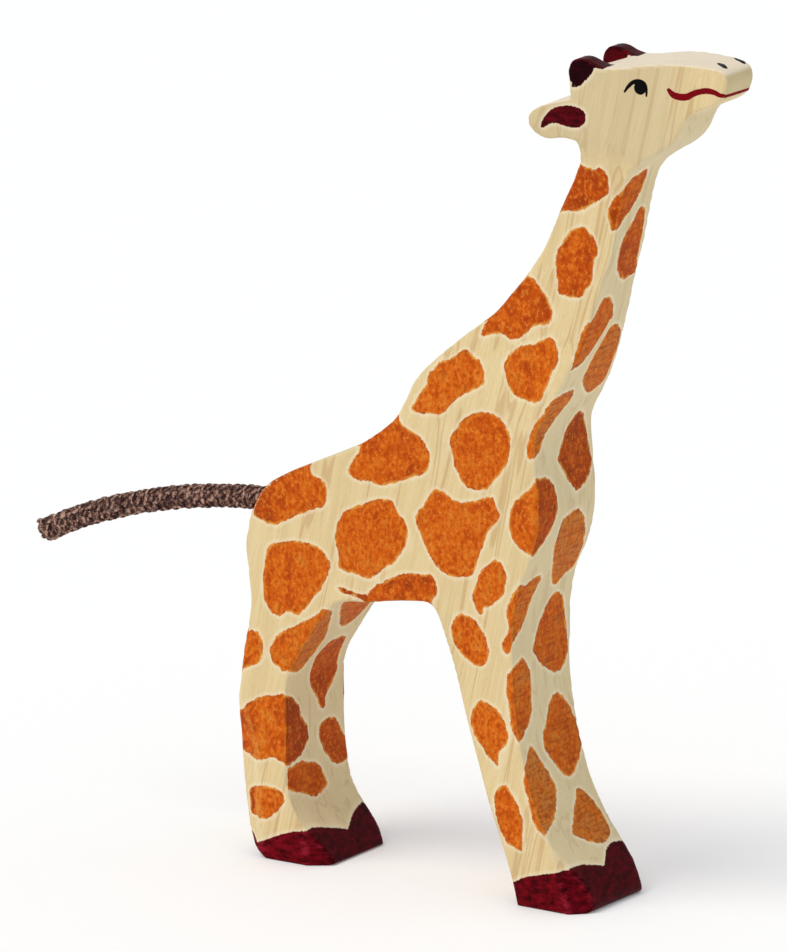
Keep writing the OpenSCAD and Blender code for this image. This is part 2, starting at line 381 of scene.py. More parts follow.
def cell_points(owner, total, q, n, flat=0.06):
    """For each cell, the point that best fits the tangent planes n at its crossings q. Directions
    weaker than a share flat of the strongest are left alone."""
    number = np.bincount(owner, minlength=total)
    middle = np.stack([np.bincount(owner, q[:, i], total) for i in range(3)], 1) / number[:, None]
    offset = (n * (q - middle[owner])).sum(1)
    matrix = np.empty((total, 3, 3))
    right = np.empty((total, 3))
    for i in range(3):
        right[:, i] = np.bincount(owner, n[:, i] * offset, total)
        for j in range(i, 3):
            matrix[:, i, j] = matrix[:, j, i] = np.bincount(owner, n[:, i] * n[:, j], total)
    size, way = np.linalg.eigh(matrix)
    keep = size > flat * size[:, -1:]
    inverse = np.where(keep, 1 / np.where(keep, size, 1), 0)
    return middle + np.einsum("nij,nj,nkj,nk->ni", way, inverse, way, right)


def contour(field, low, high, step):
    """Vertices and triangles of the field's zero surface, with its creases kept."""
    low = np.array(low, float)
    count = np.ceil((np.array(high) - low) / step).astype(int)
    value = grid_values(field, [low[i] + step * np.arange(count[i] + 1) for i in range(3)])
    points, normals, cells, faces = [], [], [], []
    for k in range(3):
        at, outward, q = crossings(field, value, low, step, k)
        points.append(q)
        normals.append(slope(field, q))
        near = np.repeat(at[:, None, :], 4, 1)
        for c, (du, dv) in enumerate([(-1, -1), (0, -1), (0, 0), (-1, 0)]):
            near[:, c, (k + 1) % 3] += du
            near[:, c, (k + 2) % 3] += dv
        ids = (near[..., 0] * count[1] + near[..., 1]) * count[2] + near[..., 2]
        cells.append(ids)
        faces.append(np.where(outward[:, None], ids, ids[:, ::-1]))
    names, owner = np.unique(np.vstack(cells), return_inverse=True)
    vertex = cell_points(owner.ravel(), len(names), np.repeat(np.vstack(points), 4, 0),
                         np.repeat(np.vstack(normals), 4, 0))
    corner = low + np.stack(np.unravel_index(names, tuple(count)), 1) * step
    vertex = np.clip(vertex, corner, corner + step)
    quads = np.searchsorted(names, np.vstack(faces))
    one = np.abs(field((vertex[quads[:, 0]] + vertex[quads[:, 2]]) / 2))
    two = np.abs(field((vertex[quads[:, 1]] + vertex[quads[:, 3]]) / 2))
    first = (one <= two)[:, None]
    a = np.where(first, quads[:, [0, 1, 2]], quads[:, [1, 2, 3]])
    b = np.where(first, quads[:, [0, 2, 3]], quads[:, [1, 3, 0]])
    return vertex, np.vstack([a, b])


def new_mesh(name, points, faces):
    """A mesh in metres from points in millimetres."""
    mesh = bpy.data.meshes.new(name)
    mesh.from_pydata((points * MM).tolist(), [], faces)
    mesh.update()
    return mesh


def dress(mesh, values, material):
    """Gives a mesh its values by name, smooth faces and a material."""
    for key, value in values.items():
        layer = mesh.attributes.new(key, "FLOAT", "POINT")
        layer.data.foreach_set("value", value.astype(np.float32))
    mesh.polygons.foreach_set("use_smooth", [True] * len(mesh.polygons))
    mesh.materials.append(material)


# ---------------------------------------------------------------- painted marks, in millimetres

# spots on the near side, [x, z]; a loop that runs past the outline wraps round that edge
SIDE_SPOTS = {
    "rump": [[-47.4, 64.8], [-46.9, 67], [-45.2, 69.9], [-42.8, 71.9], [-40, 73.7], [-37, 75.2],
             [-35.2, 76], [-34.8, 74.4], [-32.2, 73.3], [-31.4, 71], [-32, 69], [-34.2, 67.8], [-37, 66.6],
             [-39, 65.5], [-42.5, 63.6], [-44.8, 63.8], [-46.6, 64.1]],
    "thigh": [[-44.4, 59.2], [-42.3, 60.2], [-38.6, 61.2], [-35, 61.2], [-32.2, 60], [-30.8, 57.4],
              [-32.4, 53.8], [-34.4, 51], [-37.4, 47.4], [-39.6, 47.7], [-42.4, 46.4],
              [-44.8, 48.4], [-45.5, 52], [-45.1, 56]],
    "flank": [[-27.7, 68.4], [-24, 70.2], [-21, 71.6], [-17.4, 72], [-15.6, 69.6], [-13.8, 67.6],
              [-14.2, 64], [-16.2, 61], [-18.6, 59], [-22.2, 56.6], [-25.2, 56.9], [-28.8, 57.6],
              [-28.9, 60.4], [-29.6, 63], [-29, 66]],
    "back": [[-26.9, 76.2], [-25.8, 78], [-24.6, 80], [-23.4, 82.8], [-20.8, 85.4], [-16.8, 88.3],
             [-14.7, 86.4], [-10.4, 84.4], [-9, 81.2], [-9.8, 78.6], [-14, 76.6],
             [-18.8, 74.7], [-22, 74.9], [-24.6, 74.8], [-26.8, 75.7]],
    "shoulder": [[-4.5, 85.2], [-3, 88], [-1, 90.2], [1.5, 91.3], [4.8, 91.3], [7.6, 89.3],
                 [8.5, 86], [7.7, 82.8], [5.4, 79.4], [2.8, 76.9], [-1.1, 77.1], [-3.2, 80]],
    "middle": [[-12.2, 69.7], [-10.3, 72.2], [-8.6, 75], [-6.6, 75.6], [-3.4, 74.2], [0.3, 74.5],
               [4.2, 76], [5.4, 74.4], [6.2, 72.5], [4.2, 69.8], [2.2, 65.4], [0, 60.6],
               [-4.2, 59.8], [-7.2, 60.9], [-9.6, 63.8], [-11.2, 67]],
    "chest": [[8.2, 72.4], [9, 75], [10.8, 77.2], [12.8, 78.9], [14.4, 80.5], [17, 79], [17, 68],
              [14.4, 67], [13.4, 66.3], [11.2, 66.9], [9.6, 68.1], [8.4, 70.4]],
    "armpit": [[0.4, 56.3], [1, 59], [2.2, 61.6], [4, 63.4], [5.7, 64.4], [7.2, 63], [7.8, 60.6],
               [6.6, 57.4], [4.4, 55.6], [2.9, 54.9], [2.5, 53.5], [1.6, 53.6], [0.9, 55]],
    "elbow": [[-4.2, 49.7], [-3.5, 51.8], [-2.2, 53], [-0.2, 52.7], [2, 51.2], [3.4, 48.8],
              [3.9, 46], [2.6, 44], [0, 44], [-2.7, 45.9], [-3.9, 48]],
    "foreleg": [[0.3, 34.5], [1.4, 36.7], [3.2, 37.3], [5.6, 36.2], [7.5, 34], [8.3, 31.2],
                [7.3, 29.5], [6.2, 27.7], [6.1, 25.6], [5, 26.1], [3, 28.2], [1, 30.6], [0.2, 33]],
    "pastern": [[5.5, 19.7], [6.5, 21.6], [7.8, 22.3], [9, 21.2], [10.6, 19], [11.8, 16],
                [11.8, 13], [11.8, 10.7], [10.2, 10.9], [8.5, 11.6], [7, 13.8], [6, 16.4]],
    "gaskin": [[-53, 25.8], [-50.6, 27.2], [-48.1, 29.3], [-45.4, 30.5], [-43, 31.1],
               [-38, 31.6], [-38, 19.2], [-42.9, 19.4], [-45, 18.7], [-47.2, 18.5], [-49, 19.1],
               [-53, 20.6]],
    "hock": [[-48.7, 11.8], [-48, 12.9], [-46.2, 13.6], [-43.9, 13.9], [-41.4, 13.4], [-40.3, 12.1],
             [-40.8, 10.8], [-43.2, 8.3], [-45.2, 7.5], [-46.8, 7.9], [-48.2, 8.1], [-48.6, 10]],
    "back_thigh": [[-51.5, 43], [-49, 42.4], [-48, 42.7], [-46.6, 42.6], [-45.8, 41.4], [-45.6, 39],
                   [-46.3, 37.2], [-48, 36], [-52, 35.4]],
    "stifle": [[-44, 39.3], [-43.3, 41.4], [-41.8, 43.2], [-39.8, 44.4], [-37.6, 45.6],
               [-34.8, 47.3], [-31.5, 48.6], [-35, 37], [-40.4, 36.1], [-42.2, 36.8], [-43.6, 37.6]],
    "belly": [[-22.7, 52.8], [-21, 55.2], [-18, 57.1], [-14.6, 58.6], [-10.8, 59.2], [-8.3, 59.1],
              [-7.2, 56.2], [-8.3, 54.8], [-9, 52], [-15, 49.5], [-22.5, 49.5]],
    "belly_line": [[-28.8, 53.9], [-25, 53.3], [-21.5, 53.2], [-21.5, 52], [-25, 52.5], [-28.8, 53.2]],
    "nape": [[18.5, 139.6], [22, 139.4], [24, 139.3], [25.9, 139.6], [26.8, 137.8], [26.8, 135.3],
             [25, 133.8], [22.6, 131.9], [20, 130.8], [17, 130.4], [14.5, 131]],
    "neck_upper": [[15.5, 121.1], [16, 123], [17.4, 125.5], [19, 127.1], [21.3, 128],
                   [23.4, 126.4], [24.5, 124.3], [23.6, 121.6], [23.6, 118.2], [22, 116.3],
                   [21.2, 115], [17, 115], [16, 118]],
    "neck_back": [[0.5, 105.2], [2.4, 109], [5.5, 113.5], [9, 117], [10.8, 117], [13.6, 114.6],
                  [15.4, 112], [15.2, 109.6], [11.5, 108.3], [9.2, 106], [7, 105.5], [4.5, 106.1]],
    "neck_low": [[5.9, 100.5], [7, 102.6], [8.8, 104.3], [12, 105.3], [14.8, 106.8], [16.3, 106.4],
                 [17.6, 103.5], [16.8, 101.2], [15.8, 98.4], [14.3, 95.1], [11, 95], [8.5, 95.6],
                 [7, 97.8]],
    "withers": [[-13, 89.6], [-12.2, 91.6], [-10.6, 94.2], [-9.6, 97], [-7.5, 99.3], [-4.8, 100.5],
                [-2.6, 102.2], [-0.5, 101.2], [1.2, 100.2], [2.2, 97], [0, 95.1], [-2.6, 93.8],
                [-4.6, 91.8], [-6.5, 90], [-9, 89.5]],
    "breast": [[12, 84.8], [12.2, 87.2], [13, 89.8], [15, 92.7], [17.5, 96], [19.5, 95], [17, 84],
               [13.8, 84.5], [12.8, 84.1]],
    "throat": [[26.5, 131.5], [27.3, 133.4], [28.6, 134.8], [31.5, 137], [31, 128.2], [28.2, 128.4],
               [27.4, 128.3], [26.9, 130]],
    "neck_edge": [[20.9, 102.1], [22.4, 109.8], [26, 110], [24, 102]],
    "knee_edge": [[12, 61], [9.3, 58.6], [8, 55.6], [7.8, 54.2], [8.2, 52], [7.2, 49.2], [7.2, 47],
                  [8.2, 47.2], [11.5, 50]],
    "shin_edge": [[11.5, 44.5], [8.4, 43.5], [7.9, 41.6], [7.7, 40], [8.2, 38.2], [8.6, 35],
                  [9.3, 32.2], [12, 30.8]],
    "foot_edge": [[14, 25.5], [11.9, 24.6], [12.3, 21.6], [13.3, 18.6], [15, 15.2], [19, 13.5]],
}
# spots on the chest, the neck's front and the front leg's front, [y, z]
FRONT_SPOTS = [
    [[-6.2, 29.4], [-5, 27.7], [-3.6, 25.4], [-2.3, 22.8], [-1.6, 21], [-2.2, 19.6], [-4.2, 17],
     [-6.2, 15.6], [-8, 15], [-10, 14.2], [-12, 15], [-12, 24], [-9, 26.7], [-7.4, 28.5]],
    [[4.6, 19.4], [6.4, 18.2], [7.9, 16.4], [8.6, 14.4], [8.8, 12.8], [8.3, 11.2], [6.6, 10.3],
     [4.4, 9.9], [2, 10.4], [-0.8, 11.9], [-2.3, 12.8], [-1.2, 14], [0.8, 15.7], [2.8, 17.6]],
    [[4.6, 36.8], [6.2, 35.6], [7.7, 33.6], [8.8, 31.2], [9.5, 28.5], [9.3, 26.2], [7.8, 24],
     [6, 22.8], [4.2, 21.6], [2.9, 21.7], [1.2, 23], [-0.6, 25.4], [-2.2, 28], [-1.8, 30.2],
     [-0.2, 32.4], [1.2, 34.7], [2.8, 36.4]],
    [[-6.4, 45.6], [-5, 44.5], [-3.9, 42.8], [-3.5, 41], [-3.7, 38], [-4.3, 35.3], [-5.2, 33.8],
     [-7, 32.3], [-8.9, 31], [-12, 31.2], [-12, 43.5], [-9.2, 44.6]],
    [[3.5, 55.7], [5.4, 55.4], [6.8, 54.2], [7.7, 51.8], [8.3, 49], [8.7, 45.5], [8.7, 43.2],
     [7.2, 41.1], [5, 40.4], [2.5, 41.4], [0, 43], [-1.6, 44.6], [-2.6, 46.3], [-1.6, 49.3],
     [0, 52], [1.7, 54.3]],
    [[-4.4, 61], [-3, 60.6], [-2.3, 59.8], [-3.3, 58.2], [-4.4, 56], [-5.2, 53.6], [-6.2, 51.8],
     [-8, 50.2], [-10, 48.8], [-13, 49.5], [-13, 59], [-9.6, 60.2], [-7.6, 59.8], [-6, 60.4]],
    [[3.3, 72.3], [5.2, 71.4], [6.8, 69.2], [8, 66.2], [8.7, 63], [8.8, 60], [7, 59.3],
     [5, 58.2], [3.4, 57.4], [2, 58.2], [0.8, 60.5], [-0.8, 63.4], [-2, 65.4], [-1.9, 69],
     [-1.2, 71.2], [0.4, 72]],
    [[-12.5, 80.4], [-8, 80.5], [-6, 80.2], [-4.6, 79.2], [-3.8, 77.4], [-3.2, 75], [-3.3, 73],
     [-4.2, 71], [-5.8, 69], [-7.4, 67.3], [-8.7, 66.2], [-12.5, 66.8]],
    [[4.3, 90.5], [5.8, 89.8], [7.1, 87.8], [8, 84.8], [8.9, 80.6], [8, 78.6], [6.4, 76.9],
     [3.6, 75.8], [2.2, 76.6], [0.4, 78.8], [-1.8, 82.2], [-1.4, 84], [0, 86], [1.2, 88],
     [2.4, 89.6]],
    [[-12, 84.6], [-8.8, 84.9], [-7.4, 86], [-6.2, 88.2], [-4.4, 90.6], [-2.9, 93], [-2.2, 94.6],
     [-3, 96.5], [-5.5, 96.8], [-8, 96.4], [-12, 95]],
    [[2.6, 108.3], [4.5, 107.8], [6.2, 106.2], [6.9, 103.6], [7.2, 99.5], [7.4, 96], [6, 95.1],
     [4, 94.4], [2, 95.3], [-0.4, 97.3], [-1.6, 98.8], [-1.3, 101.5], [-0.4, 104], [0.7, 106.4],
     [1.6, 107.8]],
    [[-2.3, 114.8], [-1, 114.4], [0.2, 113], [1, 111.5], [1.3, 110.1], [0.2, 108.2],
     [-1.4, 105.8], [-2.9, 103.8], [-4.4, 102.3], [-6.2, 101.7], [-8.4, 102.6], [-8.6, 109.5],
     [-6.4, 110.4], [-5.1, 112], [-4.5, 113.7], [-3.6, 114.6]],
    [[2.3, 131.4], [3.4, 130.7], [4, 129.2], [4.2, 125.5], [4.5, 122], [5.3, 118.2], [4, 117.7],
     [2, 117.2], [0.6, 117.9], [-0.8, 119.1], [-2.3, 121.4], [-2.8, 124], [-2.1, 126.4],
     [-0.5, 128.4], [0.6, 129.8], [1.3, 131]],
    [[-0.4, 139.2], [0.7, 138.6], [1.2, 137.2], [0.8, 135.2], [-0.3, 133.2], [-2, 131.3],
     [-3.8, 129.5], [-5.6, 128.1], [-9, 128.5], [-9, 136], [-5.5, 137], [-3.8, 138.3],
     [-2, 138.7]],
]
# tone of each of those, from -1 for a deep red brown to 1 for a pale brown
FRONT_TONES = [0.75, 0.6, 0.25, 0.3, 0.05, 0.4, 0.7, -0.6, -0.65, 0.6, 0.5, 0.25, -0.3, -0.2]
# spots on the rear leg's front, [y, z]
HIND_SPOTS = [
    [[-13, 49.8], [-9.6, 49.3], [-7.2, 48.3], [-5.6, 46.7], [-4.4, 45], [-2.8, 42.4],
     [-2.8, 40.2], [-3.3, 38.4], [-4.3, 37.2], [-5.2, 35.8], [-7, 35.5], [-10, 36.3], [-13, 37.5]],
    [[-3.6, 52.4], [0, 52.5], [4.5, 50.5], [7.6, 47.6], [7.5, 45.6], [6, 44], [4.4, 42.8],
     [2.4, 42.6], [0, 44], [-1.8, 45.8], [-3.6, 47.7], [-5, 49.2]],
    [[0.4, 39.9], [2.6, 40.2], [5.6, 39.9], [6.7, 38.3], [6.8, 36], [7.3, 33.5], [6.7, 31.6],
     [5, 29.8], [3.4, 28.3], [3.4, 26.6], [2.3, 26.2], [1.3, 27.3], [0.4, 29.2], [-1.2, 31.2],
     [-1.9, 34], [-1.6, 37], [-0.8, 38.8]],
    [[-13, 31.8], [-9.5, 31.5], [-7.4, 30.6], [-5.6, 29], [-4.5, 26.8], [-3, 24.4], [-2.3, 22.2],
     [-3.2, 20.6], [-5.2, 19.2], [-7.8, 18.5], [-13, 18.9]],
    [[-10.8, 17.3], [-7.4, 17.8], [-5.2, 18], [-2.6, 17.4], [0.2, 16.4], [1.6, 14.8], [2.4, 12.4],
     [0.8, 11.5], [-1.8, 10.9], [-4, 11.3], [-6.4, 12.5], [-9.4, 13.5], [-10.8, 14]],
    [[1.8, 23.7], [4, 24.1], [6.4, 23.6], [8, 21.8], [9, 20], [10.4, 18.4], [10.2, 15.4],
     [7.6, 14.8], [5.4, 15.4], [3.4, 17.2], [2, 19.2], [0.8, 22]],
]
HIND_TONES = [0.55, 0.5, -0.3, -0.9, -0.3, -0.4]
# spots on the backs of the legs, rump and neck, which the camera does not see, [y, z]
BACK_SPOTS = [
    [[-2, 58], [2.5, 59.5], [5, 56], [3.5, 51.5], [-0.5, 50], [-3.4, 53.5]],
    [[0.5, 45], [4, 43.5], [4.8, 39], [1.5, 36.2], [-1.5, 38], [-1.8, 42.5]],
    [[-1.8, 16.5], [2.6, 17.2], [4.2, 12.6], [1.5, 9.8], [-2.8, 11]],
    [[-2.8, 128], [0.4, 129.2], [1.4, 124], [-0.8, 120.5], [-3, 123]],
    [[0.2, 116.5], [3.2, 115.2], [3.6, 110], [0.6, 108.5], [-1, 112]],
]
FORELEG_BACK_SPOTS = [
    [[-4, 44], [0.5, 46.5], [3.4, 42.5], [0.6, 37.8], [-3.6, 38.6]],
    [[1.2, 33], [5.6, 34.2], [7, 28.5], [3.8, 25], [0.6, 28]],
    [[-7, 28], [-3, 29.5], [-1.6, 24], [-4.6, 20.2], [-8, 22.5]],
    [[-0.5, 18], [4.6, 18.6], [5.2, 12.6], [1, 10], [-2.4, 13]],
]
# how the far side's spots differ from the near side's: shift in x and z, and turn in degrees
FAR_SPOTS = {
    "rump": (0.5, -1.0, 8), "thigh": (-0.5, -1.0, 12), "flank": (1.0, 0.5, -14),
    "back": (1.0, 0.5, 6), "shoulder": (-1.0, 0.0, 30), "middle": (0.5, -0.5, -5),
    "armpit": (0.5, -1.5, 12), "elbow": (1.0, -2.0, 35), "foreleg": (0.5, 3.0, -20),
    "pastern": (1.0, 2.0, 15), "gaskin": (0.0, 2.0, 0), "hock": (1.0, 1.0, -10),
    "back_thigh": (0.0, -1.5, 5), "belly": (2.0, 0.0, 0), "nape": (0.0, -1.0, 0),
    "neck_upper": (-1.0, -1.5, 15), "neck_back": (0.5, 1.0, 0), "neck_low": (-1.5, -1.0, 30),
    "withers": (1.0, 0.5, -5),
}
SIDE_TONES = {"rump": -0.1, "back": -0.1, "nape": -0.45, "neck_upper": -0.3, "neck_back": -0.25,
              "chest": -0.05, "gaskin": -0.1, "throat": -0.35, "belly": -0.3, "belly_line": -1.0}

# side spots that run over the back edge or under the belly
OVER_THE_BACK = ("rump", "back", "nape", "neck_back", "gaskin", "back_thigh", "belly")

# face, ears and horns, [x, z], with the half width of each stroke at its points
EAR_INSIDE = [[13.3, 146.1], [13.8, 147.3], [14.8, 148.6], [16.2, 149.8], [18, 150.5], [20, 150.8],
              [22, 150.5], [23, 149.6], [22.9, 148.2], [21.8, 147.1], [20.3, 146.7], [18.7, 146.8],
              [17, 147.1], [15.2, 146.7], [13.8, 145.8]]
HORN_PAINT = [[15, 155.4], [19.7, 155.4], [20.1, 154.3], [21.1, 154.4], [22.3, 155.2], [23.5, 156.4],
              [24.4, 157.5], [24.8, 158.4], [27.2, 158.9], [28, 164], [15, 164]]
EYE_AT = (34.1, 155.8)
EYE_RADIUS = 1.2
EYE_LASH = [[31.0, 154.8], [31.7, 155.8], [32.5, 156.6], [33.4, 157], [34.4, 157], [35.1, 156.6],
            [35.4, 155.8], [35.4, 154.5]]
EYE_LASH_HALF = [0.22, 0.32, 0.38, 0.42, 0.42, 0.36, 0.28, 0.2]
MOUTH = [[39.9, 156.1], [40.4, 155.6], [41, 155.25], [42.2, 155.1], [43.5, 155.3], [44.7, 156],
         [46, 156.5], [47.3, 156.8], [48.7, 156.7], [50, 156.3], [52, 156.2]]
MOUTH_HALF = [0.4, 0.56, 0.64, 0.66, 0.62, 0.56, 0.54, 0.56, 0.52, 0.42, 0.32]
# the mouth across the front of the muzzle: height, slope, half its width and half its length
FRONT_MOUTH_LEVEL, FRONT_MOUTH_SLOPE = 156.1, 0.04
FRONT_MOUTH_HALF, FRONT_MOUTH_WIDE = 0.34, 4.2
# nostrils on the top of the muzzle, [x, y]
NOSTRILS = [[[47.1, -0.7], [48.2, -1.3], [49.4, -2.1]], [[47.5, 4.2], [48.6, 3.8], [49.8, 3.3]]]
NOSTRIL_HALF = [0.26, 0.64, 0.5]

# height of the hooves' painted edge: along the near and far sides by x, across the front and back by y
HOOVES = {
    "front": dict(
        near=[[8, 3.9], [10, 4.4], [12, 5.5], [15, 6.5], [18, 7.2], [22, 8.3]],
        face=[[-10.3, 8.2], [-7, 8.3], [-5, 8.2], [-3, 7.8], [-1, 7.3], [1, 6.7], [2.5, 7.7],
              [4, 8.8], [5.5, 9.3], [7, 9.5], [10, 9.1]],
        far=[[8, 5], [12, 6.8], [16, 8.2], [22, 9.2]],
        heel=[[-10, 4.2], [-5, 5], [0, 4], [5, 4.8], [10, 5.2]]),
    "rear": dict(
        near=[[-48.5, 4.9], [-47.2, 4.2], [-46.4, 2.8], [-44.9, 3.4], [-42.2, 4.7], [-39, 5.9],
              [-36.5, 6.5], [-33, 6.9]],
        face=[[-10.3, 6.7], [-8, 6.8], [-5.7, 6.4], [-3.4, 5.8], [-1.1, 5.3], [1, 4.6], [2.2, 5.1],
              [3.9, 6], [6.2, 6.8], [8, 7.2], [10, 7.6]],
        far=[[-48, 4], [-44, 4.6], [-39, 6.4], [-33, 7.6]],
        heel=[[-10, 4.8], [-5, 4.2], [0, 4.9], [5, 4], [10, 4]]),
}

# heights and places where one paint rule hands over to the next
HEAD_LEVEL, EAR_LEVEL = 150.0, 140.0
BELLY_LEVEL, LEG_TOP = 52.5, 50.0
HOOF_BELOW, SOLE_PAINT = 20.0, 1.2
HORN_INSIDE = 3.75
HIND_FROM = -26.0
# the point of FRONT where the neck begins
NECK_POINT = 9

# every distance to a mark is given up to this much
CLEAR = 2.5
STROKE_CLEAR = 1.5
FACE_CLEAR = 2.0


def loop_distance(u, v, loop):
    """Signed distance to a smooth closed loop, worked out only near it."""
    ring = smooth_run(loop, 6, closed=True)
    out = np.full(len(u), CLEAR)
    (u0, v0), (u1, v1) = ring.min(0) - CLEAR, ring.max(0) + CLEAR
    near = (u > u0) & (u < u1) & (v > v0) & (v < v1)
    if near.any():
        out[near] = ring_distance(np.stack([u[near], v[near]], 1), ring)
    return np.minimum(out, CLEAR)


def stroke_distance(u, v, points, half):
    """Signed distance to a brush stroke whose half width changes along it."""
    line = smooth_run(points, 6)
    width = smooth_run([[h, 0] for h in half], 6)[:, 0]
    a, d = line[:-1], line[1:] - line[:-1]
    out = np.full(len(u), STROKE_CLEAR)
    (u0, v0), (u1, v1) = line.min(0) - FACE_CLEAR, line.max(0) + FACE_CLEAR
    near = (u > u0) & (u < u1) & (v > v0) & (v < v1)
    if near.any():
        wx = u[near, None] - a[:, 0]
        wz = v[near, None] - a[:, 1]
        t = np.clip((wx * d[:, 0] + wz * d[:, 1]) / (d ** 2).sum(1), 0, 1)
        gap = np.hypot(wx - t * d[:, 0], wz - t * d[:, 1])
        out[near] = (gap - width[:-1] - t * (width[1:] - width[:-1])).min(1)
    return np.minimum(out, STROKE_CLEAR)


def paint_over(field, d, value):
    """Keep the nearer of two sets of spots, and its tone."""
    nearer = d < field[0]
    return np.where(nearer, d, field[0]), np.where(nearer, value, field[1])


def marks(u, v, loops, tones=None):
    """Distance to the nearest of the loops, and that one's tone."""
    field = np.full(len(u), CLEAR), np.zeros(len(u))
    for loop, tone in zip(loops, tones or [0.0] * len(loops)):
        field = paint_over(field, loop_distance(u, v, loop), tone)
    return field


def side_marks(x, z, spots, names):
    """The marks of one side, only those with the given names."""
    names = [name for name in spots if name in names]
    return marks(x, z, [spots[name] for name in names], [SIDE_TONES.get(name, 0.0) for name in names])


def turned(loop, dx, dz, degrees):
    p = np.array(loop, float)
    c = p.mean(0)
    a = math.radians(degrees)
    q = p - c
    q = np.stack([q[:, 0] * math.cos(a) - q[:, 1] * math.sin(a),
                  q[:, 0] * math.sin(a) + q[:, 1] * math.cos(a)], 1)
    return q + c + [dx, dz]


FAR_LOOPS = {name: turned(SIDE_SPOTS[name], *change) for name, change in FAR_SPOTS.items()}
FRONT_LINE = smooth_run(FRONT[NECK_POINT:], 6)[::-1]


def half_front(z):
    """x of the front of the neck, chest and front leg at each height."""
    return np.interp(z, FRONT_LINE[:, 1], FRONT_LINE[:, 0])


def over_the_back(x, y, z, half):
    """Marks behind: where the sides' spots run over the back edge, and a few of its own."""
    near = side_marks(x, z, SIDE_SPOTS, OVER_THE_BACK)
    far = side_marks(x, z, FAR_LOOPS, OVER_THE_BACK)
    reach = 4.5 + 1.5 * np.sin(0.23 * z + 0.11 * x)
    wrap_near = round_max(near[0] - 0.9, y + half - reach, 1.5)
    wrap_far = round_max(far[0], half - y - reach - 0.8, 1.5)
    back = paint_over((wrap_near, near[1] - 0.2), wrap_far, far[1] - 0.2)
    foreleg = (x > BETWEEN_LEGS) & (z < LEG_TOP)
    own = np.where(foreleg, marks(y, z, FORELEG_BACK_SPOTS)[0], marks(y, z, BACK_SPOTS)[0])
    return paint_over(back, own, 0.1)


def stain_marks(x, y, z, n):
    """Distance to the stained spots, their tone, and how far each point is on the sawn band."""
    half = half_thickness(x, z)
    near = side_marks(x, z, SIDE_SPOTS, SIDE_SPOTS)
    far = side_marks(x, z, FAR_LOOPS, FAR_LOOPS)
    front = marks(y, z, FRONT_SPOTS, FRONT_TONES)
    hind = marks(y, z, HIND_SPOTS, HIND_TONES)
    back = over_the_back(x, y, z, half)
    on_hind = (x < HIND_FROM) & (z < BELLY_LEVEL) & (n[:, 0] > 0)
    on_front = (n[:, 0] > -0.1) & (x > BETWEEN_LEGS) & ~((z > HEAD_LEVEL) & (n[:, 2] > 0.5))
    band = [np.where(on_hind, hind[i], np.where(on_front, front[i], back[i])) for i in (0, 1)]

    # the far edge's front spots run a little way round on to the far side
    edge = -outline.read(x, z)
    past_front, past_hind = [round_max(marks(half - 0.6, z, loops)[0], edge - 2.4, 1.2)
                             for loops in (FRONT_SPOTS, HIND_SPOTS)]
    ahead = (x > BETWEEN_LEGS) & (half_front(z) - x < 6)
    behind = (x < HIND_FROM) & (z < LEG_TOP) & (x > -45)
    far = paint_over(far, np.where(ahead, past_front, np.where(behind, past_hind, CLEAR)), -0.1)

    to_band = soft_step(0.80, 0.55, np.abs(n[:, 1]))
    side = [np.where(y < 0, near[i], far[i]) for i in (0, 1)]
    stain, tone = [side[i] * (1 - to_band) + band[i] * to_band for i in (0, 1)]
    return stain, tone, to_band


def shaded_behind(tone, x, y, z):
    """The tone of the stain, deeper towards the near side's rear edge."""
    left = (y < 0) & (x < -30)
    leg = left & (z < 45)
    tone = tone - np.where(left & (z > 62), 0.55 * soft_step(-38, -46, x - 0.4 * (z - 70)), 0)
    tone = tone - np.where(leg, np.where(z < 16, 0.8, 0.2) * soft_step(-46.2, -47.6, x), 0)
    return tone + np.where(leg, 0.35 * soft_step(2, 0.5, np.abs(x + 45.6)), 0)


def maroon_marks(x, y, z, n):
    """Distance to the paint of the hooves, soles, horns and ears."""
    maroon = np.full(len(x), CLEAR)
    flatness = np.abs(n[:, 1]) / np.maximum(np.hypot(n[:, 0], n[:, 1]), 1e-6)
    for name, lines in HOOVES.items():
        foot = (x > BETWEEN_LEGS) if name == "front" else (x <= BETWEEN_LEGS)
        level = {}
        for key, points in lines.items():
            q = np.array(points, float)
            level[key] = np.interp(x if key in ("near", "far") else y, q[:, 0], q[:, 1])
        flat = np.where(y < 0, level["near"], level["far"])
        ends = np.where(n[:, 0] > 0, level["face"], level["heel"])
        mix = soft_step(0.85, 0.45, flatness)
        line = flat * (1 - mix) + ends * mix
        maroon = np.where(foot & (z < HOOF_BELOW), np.minimum(maroon, (z - line) * 0.9), maroon)
    maroon = np.where(z < SOLE_PAINT, np.minimum(maroon, -1.0), maroon)
    horn = np.maximum(loop_distance(x, z, HORN_PAINT), HORN_INSIDE - np.abs(y))
    maroon = np.where(z > HEAD_LEVEL, np.minimum(maroon, horn), maroon)
    ear = loop_distance(x, z, EAR_INSIDE)
    return np.where((z > EAR_LEVEL) & (np.abs(n[:, 1]) > 0.5), np.minimum(maroon, ear), maroon)


